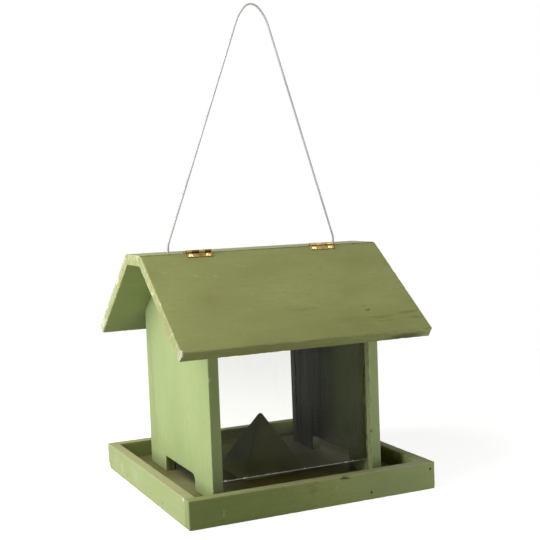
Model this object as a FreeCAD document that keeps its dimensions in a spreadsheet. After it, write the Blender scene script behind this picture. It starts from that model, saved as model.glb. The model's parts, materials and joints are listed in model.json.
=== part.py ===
import FreeCAD, Part
import math
import os
import Sketcher

# Hopper bird feeder for hanging or standing: a rimmed square tray, a house with two wooden end walls
# and two clear windows, a hinged front roof board for filling, and a stiff wire hanger.
# Frame: +X to the right along the ridge, -Y to the front (the lid side), +Z up. The origin is at the
# middle of the tray's underside.

Vector = FreeCAD.Vector
doc = FreeCAD.newDocument("silo_bird_feeder")
dims = doc.addObject("Spreadsheet::Sheet", "dims")

# Driving dimensions in millimetres and degrees: alias, size, what it measures
SIZES = (
    ("tray_length", 240, "tray outside, along the ridge"),
    ("tray_depth", 240, "tray outside, front to rear"),
    ("rim_height", 25, "rim strips, from the tray's underside"),
    ("rim_thickness", 10, "rim strips"),
    ("floor_thickness", 9, "floor board"),
    ("house_length", 169, "outside to outside of the end walls"),
    ("house_depth", 169, "end walls, front to rear"),
    ("wall_thickness", 10, "end walls"),
    ("notch_width", 80, "seed notch at the foot of each end wall"),
    ("notch_height", 15, "seed notch"),
    ("notch_large_round", 6, "upper corner of the notch that the saw turned in"),
    ("notch_small_round", 1.5, "other upper corner of the notch"),
    ("roof_length", 242, "roof boards, along the ridge"),
    ("roof_span", 242, "eave to eave, at the upper corners"),
    ("roof_pitch", 37.5, "slope of the roof boards, degrees"),
    ("roof_thickness", 10, "ridge board and both slopes"),
    ("ridge_height", 224, "flat top of the ridge board"),
    ("ridge_width", 44, "flat top of the ridge board"),
    ("lid_gap", 0.5, "between the lid's upper edge and the ridge board, along the slope"),
    ("edge_round", 0.8, "eased edges of the boards"),
    ("pane_thickness", 2, "acrylic windows"),
    ("pane_setback", 10, "window face behind the edges of the end walls"),
    ("feed_gap", 14.5, "under the windows, above the floor"),
    ("pane_headroom", 12, "from the window's upper edge to the roof"),
    ("groove_depth", 4, "window grooves in the end walls"),
    ("pane_play", 0.3, "window in its groove, each side"),
    ("pane_end_play", 0.5, "window ends in the grooves"),
    ("deflector_base", 66, "seed pyramid, side of its foot"),
    ("deflector_height", 54, "seed pyramid"),
    ("deflector_tip", 3, "seed pyramid, side of its blunted tip"),
    ("hinge_length", 25, "butt hinges"),
    ("hinge_spacing", 126, "centre to centre"),
    ("hinge_shift", 2, "pair of hinges, left of the middle"),
    ("leaf_width", 7, "from the pin's axis to the leaf's edge"),
    ("leaf_thickness", 0.6, "hinge leaves"),
    ("pin_diameter", 1.2, "hinge pins"),
    ("pin_play", 0.05, "pin in its knuckles, radial"),
    ("knuckle_gap", 0.3, "between knuckles, and from a knuckle to the other leaf"),
    ("leaf_screw_spacing", 17, "two screws in a leaf"),
    ("leaf_screw_reach", 4.7, "from the pin's axis to the screws"),
    ("leaf_screw_diameter", 2.2, "shank"),
    ("leaf_screw_length", 7, "under the head"),
    ("leaf_screw_head", 4.4, "pan head's diameter"),
    ("leaf_screw_rise", 1.3, "pan head's height"),
    ("leaf_screw_dome", 0.78, "round of the pan head's upper edge"),
    ("leaf_screw_cross", 2.64, "span of the cross in the head"),
    ("leaf_screw_slot", 0.7, "width and depth of the cross in the head"),
    ("wire_diameter", 2, "hanger wire"),
    ("wire_play", 0.75, "wire in the holes of the ridge board, radial"),
    ("wire_spacing", 173, "hole to hole"),
    ("wire_foot", 10, "turned-out end under the ridge board"),
    ("wire_foot_bend", 1.5, "inner radius of the turned-out end"),
    ("wire_stem", 7, "upright stretch above the ridge board"),
    ("wire_stem_bend", 14, "radius where a leg leans inwards"),
    ("hanger_height", 456, "top of the wire above the tray's underside"),
    ("hanger_bend", 10, "radius at the top, to the middle of the wire"),
    ("hanger_bend_half", 45, "turn of the top bend to each side, degrees"),
    ("hanger_shoulder", 40, "radius from the top bend to each leg"),
    ("hanger_offset", 7, "top of the hanger to the right of the middle"),
    ("nail_diameter", 1.6, "wire nails"),
    ("nail_length", 22, "wire nails"),
    ("nail_head", 3, "nail head's diameter"),
    ("nail_head_depth", 0.8, "nail head, set flush"),
    ("corner_nail_drop", 6, "corner nails below the rim's top"),
    ("floor_nail_height", 6.5, "rim nails into the floor board's edge"),
    ("floor_nail_spacing", 106, "rim nails along each side"),
    ("ridge_nail_spacing", 24, "pair of nails through the ridge board into a wall"),
    ("slope_nail_first", 20, "from the ridge to the upper nail in the rear slope"),
    ("slope_nail_pitch", 36, "to the lower nail"),
    ("screw_diameter", 3.5, "wood screws through the floor"),
    ("screw_length", 28, "wood screws"),
    ("screw_head", 7, "countersunk head's diameter"),
    ("screw_head_depth", 2.2, "countersunk head"),
    ("wall_screw_spacing", 124, "two screws in a wall's foot"),
    ("fastener_play", 0.05, "nails and screws in their holes, radial"),
)
for row, (alias, size, meaning) in enumerate(SIZES, start=1):
    dims.set(f"A{row}", meaning)
    dims.set(f"B{row}", str(size))
    dims.setAlias(f"B{row}", alias)
doc.recompute()

# Places and sizes that several pieces share, as expressions on the sheet
TAN_PITCH = "tan(dims.roof_pitch * 1 deg)"
COS_PITCH = "cos(dims.roof_pitch * 1 deg)"
SIN_PITCH = "sin(dims.roof_pitch * 1 deg)"
TAN_MITRE = "tan(dims.roof_pitch * 0.5 deg)"
MITRE = f"(dims.roof_thickness * {TAN_MITRE})"
SLOPE_LENGTH = f"((dims.roof_span - dims.ridge_width) / 2 / {COS_PITCH})"
INNER_LENGTH = "(dims.tray_length - 2 * dims.rim_thickness)"
INNER_DEPTH = "(dims.tray_depth - 2 * dims.rim_thickness)"
WALL_MIDDLE = "(dims.house_length / 2 - dims.wall_thickness / 2)"
PANE_FACE = "(dims.house_depth / 2 - dims.pane_setback)"
PANE_BOTTOM = "(dims.floor_thickness + dims.feed_gap)"
KNUCKLE = "(dims.pin_diameter / 2 + dims.pin_play + dims.leaf_thickness)"
HINGE_Y = f"(-dims.ridge_width / 2 - {KNUCKLE} * {TAN_MITRE})"
HINGE_Z = f"(dims.ridge_height + {KNUCKLE})"
HINGE_X = {-1: "(-dims.hinge_spacing / 2 - dims.hinge_shift)",
           1: "(dims.hinge_spacing / 2 - dims.hinge_shift)"}
OVERCUT = 1


def roof_underside(distance):
    """Height of the slopes' underside at a distance from the middle plane."""
    drop = f"({distance} - dims.ridge_width / 2) * {TAN_PITCH}"
    return f"(dims.ridge_height - {drop} - dims.roof_thickness / {COS_PITCH})"


def set_place(piece, x="0", y="0", z="0", axis="1; 0; 0", angle="0"):
    """Bind a piece's place, and its turn about an axis in degrees, to the sheet."""
    turn = f"rotation(vector({axis}); {angle})"
    piece.setExpression("Placement", f"placement(vector({x}; {y}; {z}); {turn})")


def new_body(label):
    return doc.addObject("PartDesign::Body", label)


def sketch_on(body, name, plane, offset="0"):
    """Empty sketch on one of the body's own origin planes, or at an offset from it."""
    sketch = body.newObject("Sketcher::SketchObject", name)
    support = next(item for item in body.Origin.OriginFeatures if item.Role == plane)
    sketch.AttachmentSupport = [(support, "")]
    sketch.MapMode = "FlatFace"
    sketch.setExpression("AttachmentOffset.Base.z", offset)
    return sketch


def bind(sketch, kind, first, second, expression):
    """Add one driving constraint whose size is an expression on the sheet."""
    size = float(sketch.evalExpression(expression))
    number = sketch.addConstraint(Sketcher.Constraint(kind, *first, *second, size))
    sketch.setExpression(f"Constraints[{number}]", expression)


def outline(body, name, plane, corners, offset="0"):
    """Closed outline of straight sides; each corner is a pair of expressions."""
    sketch = sketch_on(body, name, plane, offset)
    spots = []
    for across, up in corners:
        spots.append(Vector(float(sketch.evalExpression(across)), float(sketch.evalExpression(up)), 0))
    count = len(spots)
    for side in range(count):
        sketch.addGeometry(Part.LineSegment(spots[side], spots[(side + 1) % count]))
    for side in range(count):
        sketch.addConstraint(Sketcher.Constraint("Coincident", side, 2, (side + 1) % count, 1))
    for side, (across, up) in enumerate(corners):
        bind(sketch, "DistanceX", (-1, 1), (side, 1), across)
        bind(sketch, "DistanceY", (-1, 1), (side, 1), up)
    return sketch


def rectangle(low, high):
    """Corners of a rectangle between two opposite corners."""
    return (low, (high[0], low[1]), high, (low[0], high[1]))


def disc(body, name, plane, radius, centre=("0", "0"), offset="0"):
    """Circle about a centre given by two expressions."""
    sketch = sketch_on(body, name, plane, offset)
    middle = Vector(float(sketch.evalExpression(centre[0])), float(sketch.evalExpression(centre[1])), 0)
    size = float(sketch.evalExpression(radius))
    sketch.addGeometry(Part.Circle(middle, Vector(0, 0, 1), size))
    bind(sketch, "DistanceX", (-1, 1), (0, 3), centre[0])
    bind(sketch, "DistanceY", (-1, 1), (0, 3), centre[1])
    bind(sketch, "Radius", (0,), (), radius)
    return sketch


def grow(body, kind, sketch, length, middle=False):
    """Pad or pocket a sketch, to one side or evenly to both sides."""
    feature = body.newObject(f"PartDesign::{kind}", f"{sketch.Name}_{kind.lower()}")
    feature.Profile = sketch
    feature.SideType = "Symmetric" if middle else "One side"
    feature.setExpression("Length", length)
    return feature


def cut_into(body, sketch, length, middle=False):
    """Pocket that has to take material away."""
    doc.recompute()
    before = body.Shape.Volume
    feature = grow(body, "Pocket", sketch, length, middle)
    doc.recompute()
    if body.Shape.Volume >= before:
        raise RuntimeError(f"{feature.Name} cuts nothing")
    return feature


def round_off(body, base, name, radius, wanted=None):
    """Fillet all edges of a feature, or those for which wanted(edge) is true."""
    doc.recompute()
    fillet = body.newObject("PartDesign::Fillet", name)
    if wanted is None:
        fillet.Base = (base, [""])
        fillet.UseAllEdges = True
    else:
        edges = base.Shape.Edges
        fillet.Base = (base, [f"Edge{at + 1}" for at, edge in enumerate(edges) if wanted(edge)])
    fillet.setExpression("Radius", radius)
    return fillet


def board(label, plane, corners, thickness, middle=True):
    """Board with eased edges, padded from its outline."""
    body = new_body(label)
    pad = grow(body, "Pad", outline(body, f"{label}_outline", plane, corners), thickness, middle)
    round_off(body, pad, f"{label}_eased", "dims.edge_round")
    return body


def drilled(label, blank, tools):
    """Board with its holes taken out; it carries the piece's label."""
    blank.Label = f"{label}_blank"
    for number, tool in enumerate(tools, start=1):
        cut = doc.addObject("Part::Cut", f"{label}_holes_{number}")
        cut.Base = blank
        cut.Tool = tool
        blank = cut
    blank.Label = label
    return blank


def turned(label, profile):
    """Round piece turned about Z from a half profile of (radius, height) pairs."""
    body = new_body(label)
    sketch = outline(body, f"{label}_profile", "XZ_Plane", profile)
    turn = body.newObject("PartDesign::Revolution", f"{label}_turn")
    turn.Profile = sketch
    turn.ReferenceAxis = (sketch, ["V_Axis"])
    turn.Angle = 360
    return body


def group(label, master, places):
    """Copies of one piece at several places, as one node of separate solids."""
    copies = []
    for number, place in enumerate(places, start=1):
        copy = doc.addObject("App::Link", f"{label}_{number}")
        copy.LinkedObject = master
        set_place(copy, **place)
        copies.append(copy)
    compound = doc.addObject("Part::Compound", label)
    compound.Links = copies
    return compound


pieces = []


# Nails and screws. Each is turned about Z, drives downwards, and has a tool of its own shape, larger by
# the play, that drills its hole through every board it passes.
PLAY = "dims.fastener_play"
NAIL_R = "dims.nail_diameter / 2"
NAIL_HEAD_R = "dims.nail_head / 2"
nail = turned("nail", (
    ("0", "0"),
    (NAIL_HEAD_R, "0"),
    (NAIL_HEAD_R, "-dims.nail_head_depth"),
    (NAIL_R, "-dims.nail_head_depth"),
    (NAIL_R, "-dims.nail_length + dims.nail_diameter"),
    ("0", "-dims.nail_length"),
))
nail_drill = turned("nail_drill", (
    ("0", f"{OVERCUT}"),
    (f"{NAIL_HEAD_R} + {PLAY}", f"{OVERCUT}"),
    (f"{NAIL_HEAD_R} + {PLAY}", "-dims.nail_head_depth"),
    (f"{NAIL_R} + {PLAY}", "-dims.nail_head_depth"),
    (f"{NAIL_R} + {PLAY}", f"-dims.nail_length - {PLAY}"),
    ("0", f"-dims.nail_length - {PLAY}"),
))
SCREW_R = "dims.screw_diameter / 2"
SCREW_HEAD_R = "dims.screw_head / 2"
screw = turned("wood_screw", (
    ("0", "0"),
    (SCREW_HEAD_R, "0"),
    (SCREW_R, "-dims.screw_head_depth"),
    (SCREW_R, "-dims.screw_length + dims.screw_diameter"),
    ("0", "-dims.screw_length"),
))
screw_drill = turned("wood_screw_drill", (
    ("0", f"{OVERCUT}"),
    (f"{SCREW_HEAD_R} + {PLAY}", f"{OVERCUT}"),
    (f"{SCREW_HEAD_R} + {PLAY}", "0"),
    (f"{SCREW_R} + {PLAY}", "-dims.screw_head_depth"),
    (f"{SCREW_R} + {PLAY}", f"-dims.screw_length - {PLAY}"),
    ("0", f"-dims.screw_length - {PLAY}"),
))
LEAF_SCREW_R = "dims.leaf_screw_diameter / 2"
LEAF_SCREW_HEAD_R = "dims.leaf_screw_head / 2"
leaf_screw = turned("leaf_screw", (
    ("0", "dims.leaf_screw_rise"),
    (LEAF_SCREW_HEAD_R, "dims.leaf_screw_rise"),
    (LEAF_SCREW_HEAD_R, "0"),
    (LEAF_SCREW_R, "0"),
    (LEAF_SCREW_R, "-dims.leaf_screw_length + dims.leaf_screw_diameter"),
    ("0", "-dims.leaf_screw_length"),
))
doc.recompute()
head_top = float(leaf_screw.evalExpression("dims.leaf_screw_rise"))
round_off(leaf_screw, leaf_screw.Tip, "leaf_screw_dome", "dims.leaf_screw_dome",
          lambda edge: all(math.isclose(end.Z, head_top) for end in edge.Vertexes)
          and isinstance(edge.Curve, Part.Circle))
for name, across, along in (("x", "dims.leaf_screw_cross / 2", "dims.leaf_screw_slot / 2"),
                            ("y", "dims.leaf_screw_slot / 2", "dims.leaf_screw_cross / 2")):
    slot = outline(leaf_screw, f"leaf_screw_slot_{name}", "XY_Plane",
                   rectangle((f"-{across}", f"-{along}"), (across, along)), "dims.leaf_screw_rise")
    cut_into(leaf_screw, slot, "dims.leaf_screw_slot")
leaf_screw_drill = turned("leaf_screw_drill", (
    ("0", f"{OVERCUT}"),
    (f"{LEAF_SCREW_R} + {PLAY}", f"{OVERCUT}"),
    (f"{LEAF_SCREW_R} + {PLAY}", f"-dims.leaf_screw_length - {PLAY}"),
    ("0", f"-dims.leaf_screw_length - {PLAY}"),
))

# Rim nails: one through each end of the front and rear strips, and two into each edge of the floor
rim_nail_places = []
for side in (-1, 1):
    face_y = f"{side} * dims.tray_depth / 2"
    face_x = f"{side} * dims.tray_length / 2"
    for end in (-1, 1):
        corner = f"{end} * (dims.tray_length - dims.rim_thickness) / 2"
        along = f"{end} * dims.floor_nail_spacing / 2"
        rim_nail_places.append(dict(x=corner, y=face_y, z="dims.rim_height - dims.corner_nail_drop",
                                    angle=f"{-90 * side}"))
        rim_nail_places.append(dict(x=along, y=face_y, z="dims.floor_nail_height", angle=f"{-90 * side}"))
        rim_nail_places.append(dict(x=face_x, y=along, z="dims.floor_nail_height",
                                    axis="0; 1; 0", angle=f"{90 * side}"))
pieces.append(group("rim_nails", nail, rim_nail_places))
rim_nail_drills = group("rim_nail_drills", nail_drill, rim_nail_places)

# Roof nails: pairs through the ridge board and through the rear slope into the tops of the end walls
roof_nail_places = []
for end in (-1, 1):
    over_wall = f"{end} * {WALL_MIDDLE}"
    for side in (-1, 1):
        roof_nail_places.append(dict(x=over_wall, y=f"{side} * dims.ridge_nail_spacing / 2",
                                     z="dims.ridge_height"))
    for down in ("dims.slope_nail_first", "(dims.slope_nail_first + dims.slope_nail_pitch)"):
        roof_nail_places.append(dict(x=over_wall, y=f"dims.ridge_width / 2 + {down} * {COS_PITCH}",
                                     z=f"dims.ridge_height - {down} * {SIN_PITCH}",
                                     angle="-dims.roof_pitch"))
pieces.append(group("roof_nails", nail, roof_nail_places))
roof_nail_drills = group("roof_nail_drills", nail_drill, roof_nail_places)

# Screws from below: two into the foot of each end wall, one into the seed pyramid
wall_screw_places = []
for end in (-1, 1):
    for side in (-1, 1):
        wall_screw_places.append(dict(x=f"{end} * {WALL_MIDDLE}", angle="180",
                                      y=f"{side} * dims.wall_screw_spacing / 2"))
deflector_screw_places = [dict(angle="180")]
pieces.append(group("wall_screws", screw, wall_screw_places))
pieces.append(group("deflector_screw", screw, deflector_screw_places))
wall_screw_drills = group("wall_screw_drills", screw_drill, wall_screw_places)
deflector_screw_drills = group("deflector_screw_drills", screw_drill, deflector_screw_places)

# Hinge screws: two in each leaf, on the ridge board's flat top and on the lid's slope
ridge_screw_places = []
lid_screw_places = []
LEAF_TOP = f"(dims.leaf_thickness - {KNUCKLE})"
for hinge in (-1, 1):
    for end in (-1, 1):
        along = f"{HINGE_X[hinge]} + {end} * dims.leaf_screw_spacing / 2"
        ridge_screw_places.append(dict(x=along, y=f"{HINGE_Y} + dims.leaf_screw_reach",
                                       z=f"{HINGE_Z} + {LEAF_TOP}"))
        out_y = f"-dims.leaf_screw_reach * {COS_PITCH} - {LEAF_TOP} * {SIN_PITCH}"
        out_z = f"-dims.leaf_screw_reach * {SIN_PITCH} + {LEAF_TOP} * {COS_PITCH}"
        lid_screw_places.append(dict(x=along, y=f"{HINGE_Y} + ({out_y})", z=f"{HINGE_Z} + ({out_z})",
                                     angle="dims.roof_pitch"))
pieces.append(group("ridge_leaf_screws", leaf_screw, ridge_screw_places))
pieces.append(group("lid_leaf_screws", leaf_screw, lid_screw_places))
ridge_screw_drills = group("ridge_screw_drills", leaf_screw_drill, ridge_screw_places)
lid_screw_drills = group("lid_screw_drills", leaf_screw_drill, lid_screw_places)


# Tray: a floor board inside four rim strips; the front and rear strips run the full length
def make_floor_board():
    half = (f"{INNER_LENGTH} / 2", f"{INNER_DEPTH} / 2")
    body = new_body("floor_board")
    corners = rectangle((f"-{half[0]}", f"-{half[1]}"), half)
    grow(body, "Pad", outline(body, "floor_outline", "XY_Plane", corners), "dims.floor_thickness")
    return drilled("floor_board", body, (rim_nail_drills, wall_screw_drills, deflector_screw_drills))


def make_rim(label, plane, half_length, **place):
    corners = rectangle((f"-{half_length}", "0"), (half_length, "dims.rim_height"))
    body = board(label, plane, corners, "dims.rim_thickness")
    set_place(body, **place)
    return drilled(label, body, (rim_nail_drills,))


pieces.append(make_floor_board())
RIM_Y = "(dims.tray_depth - dims.rim_thickness) / 2"
RIM_X = "(dims.tray_length - dims.rim_thickness) / 2"
pieces.append(make_rim("rim_front", "XZ_Plane", "dims.tray_length / 2", y=f"-{RIM_Y}"))
pieces.append(make_rim("rim_rear", "XZ_Plane", "dims.tray_length / 2", y=RIM_Y))
pieces.append(make_rim("rim_left", "YZ_Plane", f"{INNER_DEPTH} / 2", x=f"-{RIM_X}"))
pieces.append(make_rim("rim_right", "YZ_Plane", f"{INNER_DEPTH} / 2", x=RIM_X))


# End walls: two like gable boards, the right one turned half round. Each has a seed notch at its foot
# and two upright grooves, open at the top, that stop at the windows' lower edge.
SAME_SPOT = 0.01


def make_end_wall(label, end, angle):
    body = new_body(label)
    half = "dims.house_depth / 2"
    notch = "dims.notch_width / 2"
    top = "(dims.ridge_height - dims.roof_thickness - dims.floor_thickness)"
    side_top = f"({roof_underside(half)} - dims.floor_thickness)"
    flat = f"(dims.ridge_width / 2 - {MITRE})"
    corners = (
        (f"-{half}", "0"),
        (f"-{notch}", "0"),
        (f"-{notch}", "dims.notch_height"),
        (notch, "dims.notch_height"),
        (notch, "0"),
        (half, "0"),
        (half, side_top),
        (flat, top),
        (f"-{flat}", top),
        (f"-{half}", side_top),
    )
    shape = outline(body, f"{label}_outline", "YZ_Plane", corners)
    feature = grow(body, "Pad", shape, "dims.wall_thickness")
    notch_top = float(body.evalExpression("dims.notch_height"))
    for name, side in (("large", -1), ("small", 1)):
        corner_y = side * float(body.evalExpression(notch))

        def in_corner(edge):
            return all(math.isclose(spot.Y, corner_y, abs_tol=SAME_SPOT)
                       and math.isclose(spot.Z, notch_top, abs_tol=SAME_SPOT) for spot in edge.Vertexes)

        feature = round_off(body, feature, f"{label}_notch_{name}", f"dims.notch_{name}_round", in_corner)
    round_off(body, feature, f"{label}_eased", "dims.edge_round")
    for name, side in (("front", -1), ("rear", 1)):
        outer = f"{side} * ({PANE_FACE} + dims.pane_play)"
        inner = f"{side} * ({PANE_FACE} - dims.pane_thickness - dims.pane_play)"
        groove = outline(body, f"{label}_groove_{name}", "YZ_Plane",
                         rectangle((outer, "dims.feed_gap"), (inner, top)), "dims.wall_thickness")
        cut_into(body, groove, "dims.groove_depth")
    set_place(body, x=f"{end} * dims.house_length / 2", z="dims.floor_thickness",
              axis="0; 0; 1", angle=angle)
    return drilled(label, body, (wall_screw_drills, roof_nail_drills))


pieces.append(make_end_wall("end_wall_left", -1, "0"))
pieces.append(make_end_wall("end_wall_right", 1, "180"))


# Windows: plain acrylic sheets that stand in the grooves, clear of the roof
def make_window(label, side):
    width = "dims.house_length - 2 * (dims.wall_thickness - dims.groove_depth + dims.pane_end_play)"
    height = f"{roof_underside(PANE_FACE)} - dims.pane_headroom - {PANE_BOTTOM}"
    body = new_body(label)
    corners = rectangle((f"-({width}) / 2", "0"), (f"({width}) / 2", height))
    sheet = outline(body, f"{label}_outline", "XZ_Plane", corners)
    grow(body, "Pad", sheet, "dims.pane_thickness", middle=True)
    set_place(body, y=f"{side} * ({PANE_FACE} - dims.pane_thickness / 2)", z=PANE_BOTTOM)
    return body


pieces.append(make_window("window_front", -1))
pieces.append(make_window("window_rear", 1))


# Seed pyramid: a solid wooden block that sheds the seed to all four sides
def make_deflector():
    body = new_body("seed_deflector")
    sections = []
    ease = "dims.edge_round"
    for name, side, height in (("foot", "dims.deflector_base", "0"),
                               ("tip", "dims.deflector_tip", "dims.deflector_height")):
        half = f"{side} / 2"
        short = f"({half} - {ease})"
        corners = ((f"-{short}", f"-{half}"), (short, f"-{half}"), (half, f"-{short}"), (half, short),
                   (short, half), (f"-{short}", half), (f"-{half}", short), (f"-{half}", f"-{short}"))
        sections.append(outline(body, f"deflector_{name}", "XY_Plane", corners, height))
    loft = body.newObject("PartDesign::AdditiveLoft", "deflector_loft")
    loft.Profile = sections[0]
    loft.Sections = [sections[1]]
    loft.Ruled = True
    set_place(body, z="dims.floor_thickness")
    return drilled("seed_deflector", body, (deflector_screw_drills,))


pieces.append(make_deflector())


# Roof: a flat ridge board between two slopes, mitred to it. The rear slope is nailed down, the front
# one is the lid and stands off the ridge by the lid gap.
def make_ridge_board():
    top = "dims.ridge_width / 2"
    under = f"(dims.ridge_width / 2 - {MITRE})"
    corners = ((f"-{top}", "0"), (f"-{under}", "-dims.roof_thickness"),
               (under, "-dims.roof_thickness"), (top, "0"))
    body = board("ridge_board", "YZ_Plane", corners, "dims.roof_length")
    for name, end in (("left", -1), ("right", 1)):
        hole = disc(body, f"wire_hole_{name}", "XY_Plane", "dims.wire_diameter / 2 + dims.wire_play",
                    (f"{end} * dims.wire_spacing / 2", "0"))
        cut_into(body, hole, "dims.roof_thickness")
    set_place(body, z="dims.ridge_height")
    return drilled("ridge_board", body, (roof_nail_drills, ridge_screw_drills))


def make_slope(label, side, gap, tools):
    """Slope board; side is 1 to the rear and -1 to the front."""
    corners = ((f"{side} * {gap}", "0"), (f"{side} * {SLOPE_LENGTH}", "0"),
               (f"{side} * {SLOPE_LENGTH}", "-dims.roof_thickness"),
               (f"{side} * ({MITRE} + {gap})", "-dims.roof_thickness"))
    body = board(label, "YZ_Plane", corners, "dims.roof_length")
    set_place(body, y=f"{side} * dims.ridge_width / 2", z="dims.ridge_height",
              angle=f"{-side} * dims.roof_pitch")
    return drilled(label, body, tools)


pieces.append(make_ridge_board())
pieces.append(make_slope("roof_rear_board", 1, "0", (roof_nail_drills,)))
pieces.append(make_slope("lid_board", -1, "dims.lid_gap", (lid_screw_drills,)))


# Butt hinges: like leaves of sheet brass with two rolled knuckles each, and a plain pin. The pin's axis
# lies over the joint, one knuckle radius off the ridge's top and off the lid's face. The two leaves
# take turns along the pin.
LEAVES = 2
KNUCKLE_COUNT = 4
KNUCKLE_PITCH = f"(dims.hinge_length / {KNUCKLE_COUNT})"


def make_leaf(label, side, first, hinge, angle, tools):
    """Leaf; side is the way it reaches along Y, first the number of its left-hand knuckle."""
    body = new_body(label)
    low = f"-{KNUCKLE}"
    high = LEAF_TOP
    root = f"({KNUCKLE} + dims.knuckle_gap)"
    plate = outline(body, f"{label}_plate", "YZ_Plane",
                    rectangle((f"{side} * {root}", low), (f"{side} * dims.leaf_width", high)))
    grow(body, "Pad", plate, "dims.hinge_length", middle=True)
    for number in range(first, KNUCKLE_COUNT, LEAVES):
        start = f"({number} * {KNUCKLE_PITCH} - dims.hinge_length / 2 + dims.knuckle_gap / 2)"
        length = f"{KNUCKLE_PITCH} - dims.knuckle_gap"
        roll = disc(body, f"{label}_roll_{number}", "YZ_Plane", KNUCKLE, offset=start)
        grow(body, "Pad", roll, length)
        neck = outline(body, f"{label}_neck_{number}", "YZ_Plane",
                       rectangle(("0", low), (f"{side} * ({root} + dims.leaf_thickness)", high)), start)
        grow(body, "Pad", neck, length)
    bore = disc(body, f"{label}_bore", "YZ_Plane", "dims.pin_diameter / 2 + dims.pin_play")
    cut_into(body, bore, "dims.hinge_length", middle=True)
    set_place(body, x=HINGE_X[hinge], y=HINGE_Y, z=HINGE_Z, angle=angle)
    return drilled(label, body, tools)


def make_pin(label, hinge):
    body = new_body(label)
    section = disc(body, f"{label}_section", "YZ_Plane", "dims.pin_diameter / 2")
    grow(body, "Pad", section, "dims.hinge_length", middle=True)
    set_place(body, x=HINGE_X[hinge], y=HINGE_Y, z=HINGE_Z)
    return body


for name, hinge in (("left", -1), ("right", 1)):
    pieces.append(make_leaf(f"ridge_leaf_{name}", 1, 1, hinge, "0", (ridge_screw_drills,)))
    pieces.append(make_leaf(f"lid_leaf_{name}", -1, 0, hinge, "dims.roof_pitch", (lid_screw_drills,)))
    pieces.append(make_pin(f"hinge_pin_{name}", hinge))


# Hanger: one stiff wire in the plane above the ridge. Its turned-out ends lie under the ridge board, its
# stems stand in the holes, and its legs run straight to wide shoulders that close in a tight top bend.
TUBE_TOLERANCE = 0.01


def size_of(alias):
    return float(dims.get(alias))


def tangent_point(spot, centre, radius, side):
    """Point where a straight line from spot touches a circle, on its left (-1) or right (1)."""
    reach = spot - centre
    turn = math.acos(radius / reach.Length)
    bearing = math.atan2(reach.z, reach.x) + side * turn
    return centre + Vector(math.cos(bearing), 0, math.sin(bearing)) * radius


def bend(before, corner, after, radius):
    """Ends and middle of the arc that rounds a corner between two straight runs."""
    to_before = (before - corner).normalize()
    to_after = (after - corner).normalize()
    half = to_before.getAngle(to_after) / 2
    setback = radius / math.tan(half)
    inward = (to_before + to_after).normalize()
    middle = corner + inward * (radius / math.sin(half) - radius)
    return corner + to_before * setback, middle, corner + to_after * setback


def make_hanger():
    under = size_of("ridge_height") - size_of("roof_thickness")
    foot_radius = size_of("wire_foot_bend") + size_of("wire_diameter") / 2
    foot_z = under - foot_radius
    stem_z = size_of("ridge_height") + size_of("wire_stem")
    radius = size_of("hanger_bend")
    shoulder = size_of("hanger_shoulder")
    turn = math.radians(size_of("hanger_bend_half"))
    top = size_of("hanger_height") - size_of("wire_diameter") / 2
    centre = Vector(size_of("hanger_offset"), 0, top - radius)
    half_runs = []
    for side in (-1, 1):
        hole = side * size_of("wire_spacing") / 2
        end = Vector(hole + side * size_of("wire_foot"), 0, foot_z)
        heel = Vector(hole, 0, foot_z)
        stem = Vector(hole, 0, stem_z)
        outward = Vector(side * math.sin(turn), 0, math.cos(turn))
        joint = centre + outward * radius
        hub = joint - outward * shoulder
        touch = tangent_point(stem, hub, shoulder, side)
        between = (touch + joint) / 2 - hub
        shoulder_arc = (touch, hub + between.normalize() * shoulder, joint)
        heel_arc = bend(end, heel, stem, foot_radius)
        stem_arc = bend(heel, stem, touch, size_of("wire_stem_bend"))
        half_runs.append((end, heel_arc, stem_arc, shoulder_arc))
    edges = []
    for end, heel_arc, stem_arc, shoulder_arc in half_runs:
        edges += [Part.LineSegment(end, heel_arc[0]), Part.Arc(*heel_arc),
                  Part.LineSegment(heel_arc[2], stem_arc[0]), Part.Arc(*stem_arc),
                  Part.LineSegment(stem_arc[2], shoulder_arc[0]), Part.Arc(*shoulder_arc)]
    top_ends = [shoulder_arc[2] for end, heel_arc, stem_arc, shoulder_arc in half_runs]
    edges.append(Part.Arc(top_ends[0], Vector(centre.x, 0, top), top_ends[1]))
    path = Part.Wire(Part.__sortEdges__([edge.toShape() for edge in edges]))
    start = half_runs[0][0]
    section = Part.Wire(Part.makeCircle(size_of("wire_diameter") / 2, start, Vector(1, 0, 0)))
    piece = doc.addObject("Part::Feature", "hanger_wire")
    piece.Shape = path.makePipeShell([section], True, False)
    expected = path.Length * math.pi * (size_of("wire_diameter") / 2) ** 2
    if not math.isclose(piece.Shape.Volume, expected, rel_tol=TUBE_TOLERANCE):
        raise RuntimeError("the hanger's wire is not a clean tube")
    return piece


pieces.append(make_hanger())
doc.recompute()

# Every feature has to be sound before any piece is written
for item in doc.Objects:
    if "Invalid" in item.State or "Error" in item.State:
        raise RuntimeError(f"{item.Label} did not rebuild: {item.State}")
for piece in pieces:
    if piece.Shape.isNull() or not piece.Shape.isValid() or not piece.Shape.Solids:
        raise RuntimeError(f"{piece.Label} is not a sound solid")

os.makedirs("parts", exist_ok=True)
for piece in pieces:
    piece.Shape.exportStep(os.path.join("parts", f"{piece.Label}.step"))
print(f"{len(pieces)} pieces written")
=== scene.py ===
import json
import math
import bmesh
import bpy
from mathutils import Matrix, Vector, noise


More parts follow.
